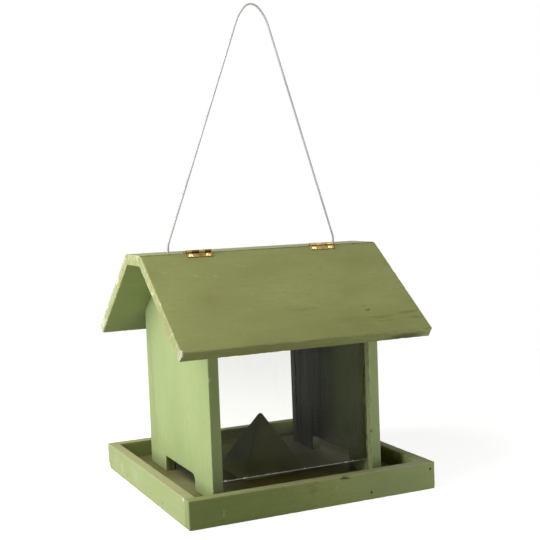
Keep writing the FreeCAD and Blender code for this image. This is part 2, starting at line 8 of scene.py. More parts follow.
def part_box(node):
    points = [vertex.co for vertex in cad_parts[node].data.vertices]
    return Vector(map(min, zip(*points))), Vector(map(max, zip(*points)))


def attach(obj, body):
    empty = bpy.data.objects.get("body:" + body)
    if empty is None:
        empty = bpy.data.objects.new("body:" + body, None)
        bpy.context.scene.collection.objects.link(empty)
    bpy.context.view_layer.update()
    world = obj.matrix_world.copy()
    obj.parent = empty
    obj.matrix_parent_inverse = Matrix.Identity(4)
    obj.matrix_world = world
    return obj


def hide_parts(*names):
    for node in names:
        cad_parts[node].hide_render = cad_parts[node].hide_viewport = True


# A hopper bird feeder of painted pine boards: a rimmed tray, a house with clear windows, a roof whose
# front board is a hinged lid, and a hanger of stiff wire. Units are metres, in the frame of the model.
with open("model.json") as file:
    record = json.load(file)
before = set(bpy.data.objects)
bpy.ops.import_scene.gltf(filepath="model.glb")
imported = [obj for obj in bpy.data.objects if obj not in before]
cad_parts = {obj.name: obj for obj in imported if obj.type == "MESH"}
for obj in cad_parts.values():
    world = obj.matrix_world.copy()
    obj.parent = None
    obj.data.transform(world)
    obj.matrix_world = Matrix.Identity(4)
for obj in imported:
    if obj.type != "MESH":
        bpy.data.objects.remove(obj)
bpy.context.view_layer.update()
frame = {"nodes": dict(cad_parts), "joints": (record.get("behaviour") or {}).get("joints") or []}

# Tray floor. One sawn pine board let in between the rim strips and nailed through them. Its paint is
# thin, and seed husks and rain have turned it a dull grey brown.
MM = 0.001


def linear(hex_colour):
    """Linear RGBA of an sRGB hex colour."""
    channels = [int(hex_colour[at:at + 2], 16) / 255 for at in (1, 3, 5)]
    return [c / 12.92 if c <= 0.04045 else ((c + 0.055) / 1.055) ** 2.4 for c in channels] + [1.0]


def add_node(tree, kind, inputs=None, out=0, **settings):
    """Add a node with its settings. An input is a value, a hex colour, another node's output or a list of
    such outputs. Gives the output that out names, or all of them where out is None."""
    node = tree.nodes.new(kind)
    for setting, value in settings.items():
        setattr(node, setting, value)
    for socket, entry in (inputs or {}).items():
        for value in entry if isinstance(entry, list) else [entry]:
            if isinstance(value, bpy.types.NodeSocket):
                tree.links.new(value, node.inputs[socket])
            elif isinstance(value, str) and value.startswith("#"):
                node.inputs[socket].default_value = linear(value)
            else:
                node.inputs[socket].default_value = value
    return node.outputs if out is None else node.outputs[out]


# Sockets of a mix node: the share of the second, two numbers, and the colours under and over. A map range
# node's sockets go by number: 0 is the value, 1 and 2 the range that it has, 3 and 4 the range that it gets.
SHARE, NUMBER_A, NUMBER_B, UNDER, OVER = 0, 2, 3, 6, 7
IN_COLOUR = {"out": 2, "data_type": "RGBA"}


def new_material(name):
    """Empty node material; gives the material, its tree and the Object coordinates."""
    material = bpy.data.materials.new(name)
    material.use_nodes = True
    tree = material.node_tree
    tree.nodes.clear()
    return material, tree, add_node(tree, "ShaderNodeTexCoord", out="Object")


def streaked(tree, board, widths, seed, detail=3.0):
    """Noise whose spots have the given sizes in metres along the board's three directions."""
    stretch = tuple(1 / width for width in widths)
    lines = add_node(tree, "ShaderNodeVectorMath", {0: board, 1: stretch}, operation="MULTIPLY")
    return add_node(tree, "ShaderNodeTexNoise", {"Vector": lines, "W": seed, "Scale": 1.0, "Detail": detail,
                                                 "Roughness": 0.55, "Distortion": 0.3}, noise_dimensions="4D")


def along_grain(along, length, width):
    """Three sizes: one along the board's grain, and one across it both ways."""
    return [length if axis == along else width for axis in range(3)]


def arris_gaps(tree, board, size):
    """Distances to a board's three pairs of faces, and to its nearest arris: the middle one of the three."""
    half = tuple(side / 2 for side in size)
    reach = add_node(tree, "ShaderNodeVectorMath", {0: board}, operation="ABSOLUTE")
    inset = add_node(tree, "ShaderNodeVectorMath", {0: half, 1: reach}, operation="SUBTRACT")
    gaps = add_node(tree, "ShaderNodeSeparateXYZ", {0: inset}, out=None)
    near = add_node(tree, "ShaderNodeMath", {0: gaps[0], 1: gaps[1]}, operation="MINIMUM")
    far = add_node(tree, "ShaderNodeMath", {0: gaps[0], 1: gaps[1]}, operation="MAXIMUM")
    second = add_node(tree, "ShaderNodeMath", {0: far, 1: gaps[2]}, operation="MINIMUM")
    return gaps, add_node(tree, "ShaderNodeMath", {0: near, 1: second}, operation="MAXIMUM")


def marked(tree, board, paint, marks, dash):
    """Paint with one board's own scratches, knots and stains, and with painted light and shade where a mark
    stands for it. A mark is a spot and its half sizes in millimetres, from the board's middle, its colour,
    how much it covers, and its turn if it has one. The small ones end ragged along the grain, as dash gives
    it, and the broad ones fade out."""
    for spot, sizes, tint, cover, *turn in marks:
        torn = 5.0 if min(sizes) < 5 else 1.0
        local = add_node(tree, "ShaderNodeMapping",
                         {"Vector": board, "Location": tuple(at * MM for at in spot),
                          "Rotation": turn[0] if turn else (0, 0, 0),
                          "Scale": tuple(half * MM for half in sizes)}, vector_type="TEXTURE")
        away = add_node(tree, "ShaderNodeVectorMath", {0: local}, out="Value", operation="LENGTH")
        ragged = add_node(tree, "ShaderNodeMath", {0: dash, 1: torn, 2: away}, operation="MULTIPLY_ADD")
        shown = add_node(tree, "ShaderNodeMapRange",
                         {0: ragged, 1: torn / 2 + 1.1, 2: torn / 2 + 0.3, 3: 0.0, 4: cover},
                         interpolation_type="SMOOTHSTEP")
        paint = add_node(tree, "ShaderNodeMix", {SHARE: shown, UNDER: paint, OVER: tint}, **IN_COLOUR)
    return paint


def painted_pine(name, centre, size, along, seed, coats, turn=0.0, streak=0.35, flecks=0.3,
                 rubbed=("#C3C894", 0.5), dust=("#B0AA82", 0.0), sawn=("#CECEA8", 0.0),
                 inner=None, marks=()):
    """Brushed matt paint on pine: the grain shows as faint streaks, the arrises are rubbed pale, dust lies
    on top, sawn ends are pale and rough. All of it lies in the board's own directions, from its middle.
    Each of rubbed, dust and sawn is a colour and the share of it that shows."""
    material, tree, where = new_material(name)
    board = add_node(tree, "ShaderNodeMapping",
                     {"Vector": where, "Location": centre, "Rotation": (turn, 0, 0)}, vector_type="TEXTURE")

    # Paint: growth streaks 2.5 mm wide over patches of 50 mm, thin spots of 2 mm, and brush lines drawn
    # 0.9 mm wide, which is coarser than they are, to show
    grain = streaked(tree, board, along_grain(along, 140 * MM, 2.5 * MM), seed)
    brush = streaked(tree, board, along_grain(along, 60 * MM, 0.9 * MM), seed + 0.2, 2.0)
    patch = streaked(tree, board, along_grain(along, 90 * MM, 50 * MM), seed + 0.4)
    thin = streaked(tree, board, along_grain(along, 3.5 * MM, 2 * MM), seed + 0.7)
    lines = add_node(tree, "ShaderNodeMix", {SHARE: 0.35, NUMBER_A: grain, NUMBER_B: brush})
    spotted = add_node(tree, "ShaderNodeMix", {SHARE: 0.4, NUMBER_A: lines, NUMBER_B: thin})
    tone = add_node(tree, "ShaderNodeMix", {SHARE: streak, NUMBER_A: patch, NUMBER_B: spotted})
    spread = add_node(tree, "ShaderNodeMapRange", {0: tone, 1: 0.36, 2: 0.64})
    paint = add_node(tree, "ShaderNodeMix", {SHARE: spread, UNDER: coats[0], OVER: coats[1]}, **IN_COLOUR)

    # Dirt in the open grain: dark dashes 7 mm long, drawn 0.7 mm wide to show, thicker in some places
    dash = streaked(tree, board, along_grain(along, 7 * MM, 0.7 * MM), seed + 0.3, 4.0)
    open_grain = add_node(tree, "ShaderNodeMapRange", {0: dash, 1: 0.54, 2: 0.74})
    held = add_node(tree, "ShaderNodeMapRange", {0: patch, 1: 0.42, 2: 0.6, 3: 0.3 * flecks, 4: flecks})
    dirt = add_node(tree, "ShaderNodeMath", {0: open_grain, 1: held}, operation="MULTIPLY")
    paint = add_node(tree, "ShaderNodeMix", {SHARE: dirt, UNDER: paint, OVER: "#5A5E34"}, **IN_COLOUR)

    # Arrises rubbed pale, up to 1.5 mm wide
    gaps, arris = arris_gaps(tree, board, size)
    chips = streaked(tree, board, (6 * MM, 6 * MM, 6 * MM), seed + 0.6, 4.0)
    rub_width = add_node(tree, "ShaderNodeMapRange", {0: chips, 1: 0.35, 2: 0.7, 3: 0.1 * MM, 4: 1.5 * MM})
    worn = add_node(tree, "ShaderNodeMapRange", {0: arris, 1: rub_width, 2: 0.0, 3: 0.0, 4: rubbed[1]},
                    interpolation_type="SMOOTHSTEP")
    paint = add_node(tree, "ShaderNodeMix", {SHARE: worn, UNDER: paint, OVER: rubbed[0]}, **IN_COLOUR)

    # Dust on the upper face, in patches
    place = add_node(tree, "ShaderNodeSeparateXYZ", {0: board}, out=None)
    top = size[2] / 2
    settled = add_node(tree, "ShaderNodeMapRange",
                       {0: place[2], 1: top - 0.9 * MM, 2: top - 0.3 * MM, 3: 0.0, 4: dust[1]})
    uneven = add_node(tree, "ShaderNodeMapRange", {0: chips, 1: 0.3, 2: 0.6, 3: 0.6, 4: 1.0})
    laid = add_node(tree, "ShaderNodeMath", {0: settled, 1: uneven}, operation="MULTIPLY")
    paint = add_node(tree, "ShaderNodeMix", {SHARE: laid, UNDER: paint, OVER: dust[0]}, **IN_COLOUR)

    # Saw lines across the ends, 1.2 mm apart, with white splinters
    saw = streaked(tree, board, (4 * MM, 1.2 * MM, 14 * MM), seed + 0.8, 2.0)
    cut = add_node(tree, "ShaderNodeMapRange",
                   {0: gaps[along], 1: 1.3 * MM, 2: 0.7 * MM, 3: 0.0, 4: sawn[1]})
    lined = add_node(tree, "ShaderNodeMapRange", {0: saw, 1: 0.36, 2: 0.64})
    bare = add_node(tree, "ShaderNodeMix", {SHARE: lined, UNDER: "#949A62", OVER: sawn[0]}, **IN_COLOUR)
    splinter = add_node(tree, "ShaderNodeMapRange", {0: chips, 1: 0.6, 2: 0.74, 3: 0.0, 4: 0.6})
    end = add_node(tree, "ShaderNodeMix", {SHARE: splinter, UNDER: bare, OVER: "#EDEDE0"}, **IN_COLOUR)
    paint = add_node(tree, "ShaderNodeMix", {SHARE: cut, UNDER: paint, OVER: end}, **IN_COLOUR)

    # The face between the windows, on the side that inner gives, is smooth, and drawn dark grey behind its
    # front part: seed grime, and painted shade of the house's inside
    keen = 0.3
    if inner:
        side = add_node(tree, "ShaderNodeMapRange", {0: place[0], 1: 3 * MM * inner, 2: 4 * MM * inner})
        deeper = add_node(tree, "ShaderNodeMapRange", {0: place[1], 1: -36 * MM, 2: 22 * MM, 3: 0.0, 4: 0.95},
                          interpolation_type="SMOOTHSTEP")
        inside_grime_and_shade = add_node(tree, "ShaderNodeMath", {0: side, 1: deeper}, operation="MULTIPLY")
        grime_and_shade_noise = streaked(tree, board, along_grain(along, 120 * MM, 7 * MM), seed + 0.5)
        worse = add_node(tree, "ShaderNodeMapRange", {0: grime_and_shade_noise, 1: 0.36, 2: 0.64})
        grey = add_node(tree, "ShaderNodeMix", {SHARE: worse, UNDER: "#26271F", OVER: "#4C4D42"}, **IN_COLOUR)
        paint = add_node(tree, "ShaderNodeMix", {SHARE: inside_grime_and_shade, UNDER: paint, OVER: grey}, **IN_COLOUR)
        keen = add_node(tree, "ShaderNodeMapRange", {0: side, 3: 0.3, 4: 0.03})
    paint = marked(tree, board, paint, marks, dash)

    # Relief of the brushed grain, more at the sawn ends, and a sheen that changes from patch to patch
    rough_end = add_node(tree, "ShaderNodeMath", {0: saw, 1: cut}, operation="MULTIPLY")
    height = add_node(tree, "ShaderNodeMath", {0: rough_end, 1: 2.0, 2: lines}, operation="MULTIPLY_ADD")
    relief = add_node(tree, "ShaderNodeBump", {"Height": height, "Strength": keen, "Distance": 0.3 * MM})
    sheen = add_node(tree, "ShaderNodeMapRange", {0: patch, 1: 0.3, 2: 0.7, 3: 0.52, 4: 0.66})
    surface = add_node(tree, "ShaderNodeBsdfPrincipled",
                       {"Base Color": paint, "Roughness": sheen, "Normal": relief, "Specular IOR Level": 0.1})
    add_node(tree, "ShaderNodeOutputMaterial", {"Surface": surface}, out=None)
    return material


def dress(node, material):
    """Give a node of the model its finish."""
    frame["nodes"][node].material_slots[0].material = material


def board_place(node):
    """Centre and size of a square-set board, from the model."""
    low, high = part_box(node)
    return (low + high) / 2, high - low


# Brown from husks under the house, and paler at the left notch. The pale strip in front of the front
# window is painted light, and the dark patches at the rear right and along the left wall's inner face are
# painted shade
floor_stains_and_shade = (
    ((0, 0, 4), (95, 78, 30), "#645626", 0.75),
    # Painted light: the floor in front of the front window
    ((10, -65, 4), (100, 45, 30), "#AA9A52", 0.9),
    ((-92, -15, 4), (24, 42, 30), "#94946A", 0.55),
    # Painted shade: the floor at the rear right, and along the left wall's inner face
    ((100, 60, 4), (16, 85, 30), "#3A361E", 0.7),
    ((-64, 5, 4), (16, 60, 30), "#2C2814", 0.6),
)
centre, size = board_place("floor_board")
dress("floor_board", painted_pine("thin_paint_on_tray_floor", centre, size, 0, 1.0, streak=0.6,
                                  coats=("#62613A", "#7A774E"), rubbed=("#9A9270", 0.2), marks=floor_stains_and_shade))

# Rim. Four planed pine strips nailed round the floor and to each other at the corners; the front and rear
# ones run the full length. Birds perch on them, so the upper faces are dusty and the arrises knocked.
EASED = 0.8 * MM
# Spacing of a board's mesh lines along the grain
STEP_ALONG = 2.4 * MM
# Ends are torn fibre by fibre, and a step in the noise makes a board's two ends differ
TORN_DEPTH = 2.2 * MM
FIBRE_WIDTH = 1.4 * MM
FIBRE_DEPTH = 5 * MM
OTHER_END = 9
# Dents have two sizes, and push an arris towards a core that lies this deep in the board
DENT = 5 * MM
SMALL_DENT = 1.7 * MM
CORE_DEPTH = 3 * MM


def ruled(side, step):
    """Lines across a board: close together round the eased arris, then evenly spaced."""
    flat = side / 2 - EASED
    count = max(2, round(2 * flat / step))
    even = [-flat + 2 * flat * at / count for at in range(count + 1)]
    curve = [flat + EASED * share for share in (0.38, 0.72, 1.0)]
    return [-line for line in reversed(curve)] + even + curve


def weathered(point, size, along, seed, torn, dents, knocks):
    """Point of a board moved inwards: ends torn by the saw, arrises dented, and single hard knocks."""
    end_gap = size[along] / 2 - abs(point[along])
    if end_gap < TORN_DEPTH:
        across = point[(along + 1) % 3] / FIBRE_WIDTH
        through = point[(along + 2) % 3] / FIBRE_DEPTH
        fibre = noise.noise(Vector((across, through, seed + math.copysign(OTHER_END, point[along]))))
        pull = torn * max(0.0, fibre) * (1 - end_gap / TORN_DEPTH)
        point[along] -= math.copysign(pull, point[along])
    gaps = sorted(side / 2 - abs(at) for side, at in zip(size, point))
    if gaps[1] < 2 * EASED:
        bump = noise.noise(point / DENT + Vector((seed, 0, 0))) + 0.6 * noise.noise(point / SMALL_DENT)
        depth = dents * max(0.0, bump - 0.1) * (1 - gaps[1] / (2 * EASED))
        inner = [side / 2 - CORE_DEPTH for side in size]
        core = Vector([max(-limit, min(limit, at)) for limit, at in zip(inner, point)])
        point += (core - point).normalized() * depth
    for spot, radius, depth in knocks:
        away = (point - Vector(spot)).length
        if away < radius:
            point -= Vector(spot).normalized() * depth * (1 - away / radius)
    return point


def stand(name, data):
    """Put a new object with the given data into the scene, at the origin."""
    thing = bpy.data.objects.new(name, data)
    bpy.context.scene.collection.objects.link(thing)
    return thing


def worn_board(name, centre, size, along, seed, torn, dents, turn=0.0, end_step=0.8 * MM, knocks=(),
               shear=None):
    """Closed board with eased, weathered arrises; shear moves each point of a board that isn't square."""
    steps = along_grain(along, STEP_ALONG, end_step)
    lines = [ruled(side, step) for side, step in zip(size, steps)]
    last = [len(line) - 1 for line in lines]
    flats = [side / 2 - EASED for side in size]
    place = Matrix.Translation(centre) @ Matrix.Rotation(turn, 4, "X")
    shape = bmesh.new()
    made = {}

    def corner(at):
        if at not in made:
            raw = Vector([lines[axis][at[axis]] for axis in range(3)])
            core = Vector([max(-flat, min(flat, line)) for flat, line in zip(flats, raw)])
            eased = core + (raw - core).normalized() * EASED
            moved = weathered(eased, size, along, seed, torn, dents, knocks)
            made[at] = shape.verts.new(place @ (shear(moved) if shear else moved))
        return made[at]

    for axis in range(3):
        u, v = (axis + 1) % 3, (axis + 2) % 3
        for side in (0, last[axis]):
            for first in range(last[u]):
                for second in range(last[v]):
                    ring = []
                    for over, up in ((0, 0), (1, 0), (1, 1), (0, 1)):
                        at = [side, side, side]
                        at[u] = first + over
                        at[v] = second + up
                        ring.append(corner(tuple(at)))
                    shape.faces.new(ring if side else ring[::-1])
    mesh = bpy.data.meshes.new(name)
    shape.to_mesh(mesh)
    shape.free()
    mesh.shade_smooth()
    return stand(name, mesh)


def put(piece, body, slot, *nodes):
    """Let a finished piece stand for nodes of the model and move with their body."""
    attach(piece, body)
    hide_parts(*nodes)


PALE = "#C4CE9E"
rim_marks_and_shade = {
    "rim_front": (((26.6, -5, 11.2), (5, 3, 1.8), "#3A3218", 1.0),
                  # The front strip's right part is greyer, and its left part darker as painted shade
                  ((100, -5, 0), (95, 30, 40), "#8C9876", 0.4),
                  ((-85, -5, 0), (110, 30, 40), "#6C7844", 0.5),
                  ((-89, -5, -2.5), (0.8, 2, 4), PALE, 0.45, (0, 0.1, 0)),
                  ((-5, -5, 5), (5, 2, 9), "#6E7444", 0.35),
                  ((18, -5, 4), (1, 2, 2.5), PALE, 0.4, (0, 0.3, 0))),
    "rim_left": (((-5, -107.4, 11.5), (1.4, 2, 1.4), "#E4E6B8", 0.8),
                 ((-5, 71, -2), (2, 3, 5), "#CED4B4", 0.5),
                 ((-5, 28, 1), (5, 20, 9), "#B4BC9C", 0.3, (0.3, 0, 0)),
                 ((-5, 90, 2), (5, 14, 10), "#B4BC9C", 0.25)),
    # Painted shade, dark brown, on the inner face of the right strip
    "rim_right": (((-5, -40, -4), (8, 65, 26), "#4A3A1C", 0.85),),
}
# The side strips are painted paler and cooler than the long ones
rim_coats = (("#909B5A", "#A5AF6C"), ("#95A26B", "#A8B27E"))
# The rear strip's left end is worn round at its foot
rim_knocks = {"rim_rear": (((-120 * MM, 5 * MM, -12.5 * MM), 6 * MM, 1.6 * MM),)}
RIM_STRIPS = (("rim_front", 0), ("rim_rear", 0), ("rim_left", 1), ("rim_right", 1))
for seed, (node, along) in enumerate(RIM_STRIPS, start=2):
    centre, size = board_place(node)
    strip = worn_board(f"{node}_strip", centre, size, along, seed, end_step=1.6 * MM, torn=0.25 * MM,
                       dents=0.5 * MM, knocks=rim_knocks.get(node, ()))
    strip.data.materials.append(painted_pine(f"brushed_paint_on_{node}", centre, size, along, seed,
                                             coats=rim_coats[along], streak=0.55, dust=("#ABA37E", 0.65),
                                             sawn=("#B2BD88", 0.8), marks=rim_marks_and_shade.get(node, ())))
    put(strip, "house", "painted_pine", node)

# Rim nails. Round wire nails, driven flush through the strips and painted over; on some the paint has
# come off and the dark steel shows.


def fixing_tree(name, *sizes):
    """Tree that sets one kind of fixing on points: inputs for its sizes in metres and for its finish."""
    tree = bpy.data.node_groups.new(name, "GeometryNodeTree")
    tree.interface.new_socket("Places", in_out="INPUT", socket_type="NodeSocketGeometry")
    for label in sizes:
        tree.interface.new_socket(label, in_out="INPUT", socket_type="NodeSocketFloat")
    tree.interface.new_socket("Finish", in_out="INPUT", socket_type="NodeSocketMaterial")
    tree.interface.new_socket("Fixings", in_out="OUTPUT", socket_type="NodeSocketGeometry")
    return tree, add_node(tree, "NodeGroupInput", out=None)


def with_shank(tree, given, head, sides, start=0.0):
    """Head joined to its round shank, whose upper end lies at the height start."""
    shank = add_node(tree, "GeometryNodeMeshCylinder", {"Vertices": sides, "Radius": given["Shank Radius"],
                                                        "Depth": given["Shank Length"]})
    middle = add_node(tree, "ShaderNodeMath", {0: given["Shank Length"], 1: -0.5, 2: start},
                      operation="MULTIPLY_ADD")
    below = add_node(tree, "ShaderNodeCombineXYZ", {2: middle})
    sunk = add_node(tree, "GeometryNodeTransform", {"Geometry": shank, "Translation": below})
    return add_node(tree, "GeometryNodeJoinGeometry", {0: [head, sunk]})


def set_out(tree, given, fixing, seed):
    """Set the fixing on every place, facing outwards and turned by chance, and end the tree."""
    facing = add_node(tree, "GeometryNodeInputNamedAttribute", {"Name": "facing"}, data_type="FLOAT_VECTOR")
    upright = add_node(tree, "FunctionNodeAlignRotationToVector", {"Vector": facing}, axis="Z")
    chance = add_node(tree, "FunctionNodeRandomValue", {2: 0.0, 3: math.tau, "Seed": seed}, out=1,
                      data_type="FLOAT")
    twist = add_node(tree, "FunctionNodeAxisAngleToRotation", {"Axis": (0, 0, 1), "Angle": chance})
    turned = add_node(tree, "FunctionNodeRotateRotation", {"Rotation": upright, "Rotate By": twist},
                      rotation_space="LOCAL")
    placed = add_node(tree, "GeometryNodeInstanceOnPoints", {"Points": given["Places"], "Instance": fixing,
                                                             "Rotation": turned})
    solid = add_node(tree, "GeometryNodeRealizeInstances", {"Geometry": placed})
    finished = add_node(tree, "GeometryNodeSetMaterial", {"Geometry": solid, "Material": given["Finish"]})
    add_node(tree, "NodeGroupOutput", {"Fixings": finished}, out=None)


def apply_modifiers(piece):
    """Turn a piece and its modifiers into one plain mesh."""
    shape = bpy.data.meshes.new_from_object(piece.evaluated_get(bpy.context.evaluated_depsgraph_get()))
    piece.modifiers.clear()
    piece.data = shape


def fix(name, tree, sizes, finish, places):
    """One plain mesh of fixings; each place is the head's seat, the way it faces and how bare it is."""
    mesh = bpy.data.meshes.new(name)
    mesh.from_pydata([seat for seat, facing, bare in places], [], [])
    mesh.attributes.new("facing", "FLOAT_VECTOR", "POINT")
    mesh.attributes.new("bare", "FLOAT", "POINT")
    for at, (seat, facing, bare) in enumerate(places):
        mesh.attributes["facing"].data[at].vector = facing
        mesh.attributes["bare"].data[at].value = bare
    piece = stand(name, mesh)
    driven = piece.modifiers.new(name, "NODES")
    driven.node_group = tree
    values = {**sizes, "Finish": finish}
    for socket in tree.interface.items_tree:
        if socket.in_out == "INPUT" and socket.name in values:
            driven[socket.identifier] = values[socket.name]
    apply_modifiers(piece)
    return piece


def steel_under_paint(name, paint, steel):
    """Nail heads: matt paint like the board's, or dark dull steel where the paint is off."""
    material, tree, where = new_material(name)
    flakes = add_node(tree, "ShaderNodeTexNoise", {"Vector": where, "Scale": 1 / (1.2 * MM), "Detail": 3.0})
    bare = add_node(tree, "ShaderNodeAttribute", out="Fac", attribute_name="bare")
    outward = add_node(tree, "ShaderNodeAttribute", out="Fac", attribute_name="from_axis")
    edge = add_node(tree, "ShaderNodeMath", {0: flakes, 1: 0.6, 2: outward}, operation="MULTIPLY_ADD")
    inside = add_node(tree, "ShaderNodeMath", {0: bare, 1: edge}, operation="SUBTRACT")
    shown = add_node(tree, "ShaderNodeMapRange", {0: inside, 1: -0.1, 2: 0.1})
    colour = add_node(tree, "ShaderNodeMix", {SHARE: shown, UNDER: paint, OVER: steel}, **IN_COLOUR)
    metal = add_node(tree, "ShaderNodeMapRange", {0: shown, 3: 0.0, 4: 0.6})
    rough = add_node(tree, "ShaderNodeMapRange", {0: flakes, 1: 0.3, 2: 0.7, 3: 0.5, 4: 0.7})
    relief = add_node(tree, "ShaderNodeBump", {"Height": flakes, "Strength": 0.4, "Distance": 0.1 * MM})
    surface = add_node(tree, "ShaderNodeBsdfPrincipled",
                       {"Base Color": colour, "Metallic": metal, "Roughness": rough, "Normal": relief,
                        "Specular IOR Level": 0.1})
    add_node(tree, "ShaderNodeOutputMaterial", {"Surface": surface}, out=None)
    return material


# A nail's head is a low cone, and each of its points keeps how far it lies from the nail's axis
CROWN_SHARE = 0.8
nail_tree, given = fixing_tree("wire_nail", "Head Radius", "Head Rise", "Shank Radius", "Shank Length")
crown = add_node(nail_tree, "ShaderNodeMath", {0: given["Head Radius"], 1: CROWN_SHARE}, operation="MULTIPLY")
disc = add_node(nail_tree, "GeometryNodeMeshCone",
                {"Vertices": 20, "Radius Top": crown, "Radius Bottom": given["Head Radius"],
                 "Depth": given["Head Rise"]}, fill_type="TRIANGLE_FAN")
spot = add_node(nail_tree, "GeometryNodeInputPosition")
level = add_node(nail_tree, "ShaderNodeVectorMath", {0: spot, 1: (1, 1, 0)}, operation="MULTIPLY")
off = add_node(nail_tree, "ShaderNodeVectorMath", {0: level}, out="Value", operation="LENGTH")
share = add_node(nail_tree, "ShaderNodeMath", {0: off, 1: given["Head Radius"]}, operation="DIVIDE")
head = add_node(nail_tree, "GeometryNodeStoreNamedAttribute",
                {"Geometry": disc, "Name": "from_axis", "Value": share}, data_type="FLOAT", domain="POINT")
set_out(nail_tree, given, with_shank(nail_tree, given, head, 12), 1)
NAIL = {"Head Radius": 1.5 * MM, "Head Rise": 0.2 * MM, "Shank Radius": 0.8 * MM, "Shank Length": 22 * MM}
nail_finish = steel_under_paint("painted_wire_nail", "#889358", "#2A271C")
TRAY_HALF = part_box("rim_front")[1].x
STRIP_THICKNESS = board_place("rim_right")[1].x
CORNER_NAIL = (TRAY_HALF - STRIP_THICKNESS / 2, 19 * MM)
FLOOR_NAIL = (53 * MM, 6.5 * MM)
# The paint is off the nails at the right of the long strips, and off the middle of the right strip's
rim_nails = []
for side in (-1, 1):
    for end in (-1, 1):
        bare = 0.95 if end > 0 else 0.0
        for along, up in (CORNER_NAIL, FLOOR_NAIL):
            rim_nails.append((Vector((end * along, side * TRAY_HALF, up)), (0, side, 0), bare))
        along, up = FLOOR_NAIL
        bare = 0.7 if side > 0 else 0.0
        rim_nails.append((Vector((side * TRAY_HALF, end * along, up)), (side, 0, 0), bare))
put(fix("rim_nail_heads", nail_tree, NAIL, nail_finish, rim_nails), "house", "nail_steel", "rim_nails")

# End walls. Two gable boards with the grain upright, a seed notch sawn in the foot and grooves that hold
# the windows; screwed from below. Rain has streaked the left one near its rear edge.
STREAK = "#6E7A45"
DARK = "#4A4224"
wall_marks_and_painted_light = {
    "end_wall_left": (((-5, 69, -40), (2, 0.8, 38), STREAK, 0.8),
                      ((-5, 63, -62), (2, 0.7, 26), STREAK, 0.7),
                      ((-5, 73, 8), (2, 1.6, 30), STREAK, 0.35),
                      ((-5, -71, -34), (2, 1, 1.2), DARK, 0.5),
                      # Painted shade on the front edge
                      ((0, -84.5, 0), (12, 1.5, 160), "#76844E", 0.25),
                      ((-5, 74, -40), (2, 13, 95), "#93A066", 0.4),
                      # Painted shade on the side face of the seed notch
                      ((0, 40, -92), (5.2, 5, 17), "#767A34", 0.9),
                      ((-5, -84.5, 5.5), (2, 1, 3), "#D9E2B4", 0.7)),
    "end_wall_right": (((-5, -84.5, -59), (1.8, 3, 2.4), DARK, 1.0),
                       ((-4, -84.5, -54), (0.6, 2, 3), DARK, 0.4),
                       # Painted light on the inner face's strip in front of the window groove
                       ((-5, -80, 0), (1.5, 7, 160), "#CCD69E", 0.9),
                       ((-5, -25, -92), (6, 60, 18), "#6C6A48", 0.5),
                       # Painted light on the inner face behind the front window
                       ((-5.5, -58, 0), (3, 20, 130), "#C8CB92", 0.6),
                       # Painted shadow in the gap of the window groove
                       ((-5.5, -76.3, 0), (2, 1.3, 160), "#1A1B10", 0.9)),
}
for seed, (node, inner) in enumerate((("end_wall_left", 1), ("end_wall_right", -1)), start=7):
    centre, size = board_place(node)
    dress(node, painted_pine(f"brushed_paint_on_{node}", centre, size, 2, seed, streak=0.4,
                             coats=("#98A96F", "#A9B781"), inner=inner, marks=wall_marks_and_painted_light[node]))

# Seed pyramid. A solid pine block, sawn to four slopes that send the seed outwards, painted with the house
# and screwed to the floor from below. Seed has rubbed it dull, and its paint is drawn darker than the
# house's as painted shade.
centre, size = board_place("seed_deflector")
dress("seed_deflector", painted_pine("brushed_paint_on_pyramid", centre, size, 0, 10.0,
                                     coats=("#787A4A", "#8E905E"), rubbed=("#B9BE8C", 0.2)))

# Floor screws. Countersunk zinc-plated screws with a cross recess, driven up through the floor into the
# end walls and the pyramid, and left bare.


def zinc_plate(name, bright, dull, grain, roughness):
    """Zinc: a soft grey metal with a faint spangle, whose grain is drawn coarse to show."""
    material, tree, where = new_material(name)
    spangle = add_node(tree, "ShaderNodeTexNoise", {"Vector": where, "Scale": 1 / grain, "Detail": 3.0})
    mixed = add_node(tree, "ShaderNodeMapRange", {0: spangle, 1: 0.3, 2: 0.7})
    colour = add_node(tree, "ShaderNodeMix", {SHARE: mixed, UNDER: bright, OVER: dull}, **IN_COLOUR)
    rough = add_node(tree, "ShaderNodeMapRange",
                     {0: spangle, 1: 0.3, 2: 0.7, 3: roughness, 4: roughness + 0.1})
    relief = add_node(tree, "ShaderNodeBump", {"Height": spangle, "Strength": 0.2, "Distance": 0.05 * MM})
    surface = add_node(tree, "ShaderNodeBsdfPrincipled",
                       {"Base Color": colour, "Metallic": 1.0, "Roughness": rough, "Normal": relief})
    add_node(tree, "ShaderNodeOutputMaterial", {"Surface": surface}, out=None)
    return material


def cross_recess(tree, given, head, top):
    """Head with a cross sunk in it, down from the height top."""
    depth = add_node(tree, "ShaderNodeMath", {0: given["Cross Depth"], 1: 2.0}, operation="MULTIPLY")
    span, width = given["Cross Span"], given["Cross Width"]
    for across in ((span, width), (width, span)):
        bar = add_node(tree, "ShaderNodeCombineXYZ", {0: across[0], 1: across[1], 2: depth})
        block = add_node(tree, "GeometryNodeMeshCube", {"Size": bar})
        lift = add_node(tree, "ShaderNodeCombineXYZ", {2: top})
        raised = add_node(tree, "GeometryNodeTransform", {"Geometry": block, "Translation": lift})
        head = add_node(tree, "GeometryNodeMeshBoolean", {0: head, 1: raised}, operation="DIFFERENCE",
                        solver="EXACT")
    return head


